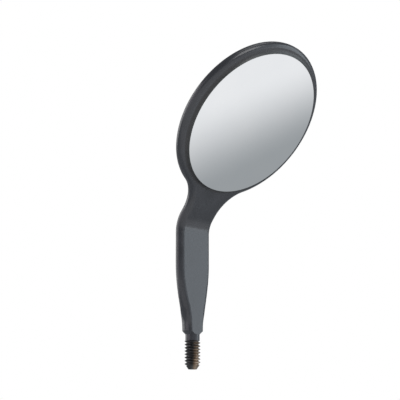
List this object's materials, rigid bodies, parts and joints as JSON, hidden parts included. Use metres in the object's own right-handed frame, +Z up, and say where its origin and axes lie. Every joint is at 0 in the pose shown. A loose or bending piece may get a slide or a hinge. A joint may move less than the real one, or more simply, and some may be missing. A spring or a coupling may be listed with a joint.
{
  "type": "mouth mirror head",
  "caption": "Round front-surface mirror in a black moulded frame with a bent flat stem, ending in a threaded metal insert for a handle.",
  "frame": {"origin": "on the thread axis, where the conical shoulder under the stem meets the collar", "axes": "+Z up the stem towards the head, X across the head's width, the mirror looks along -Y and down"},
  "size_m": [0.024, 0.0195, 0.0434],
  "materials": {
    "frame_plastic": "satin black moulded plastic",
    "insert_metal": "dark turned metal, brown where worn",
    "reflecting_film": "polished front-surface mirror",
    "mirror_glass": "ground edge",
    "adhesive": "cured bed",
    "seal_rubber": "smooth black"
  },
  "bodies": {
    "root": {"moulded_frame": "frame_plastic", "threaded_insert": "insert_metal", "mirror_coating": "reflecting_film", "mirror_glass": "mirror_glass", "glass_adhesive": "adhesive", "edge_seal": "seal_rubber"}
  },
  "joints": []
}
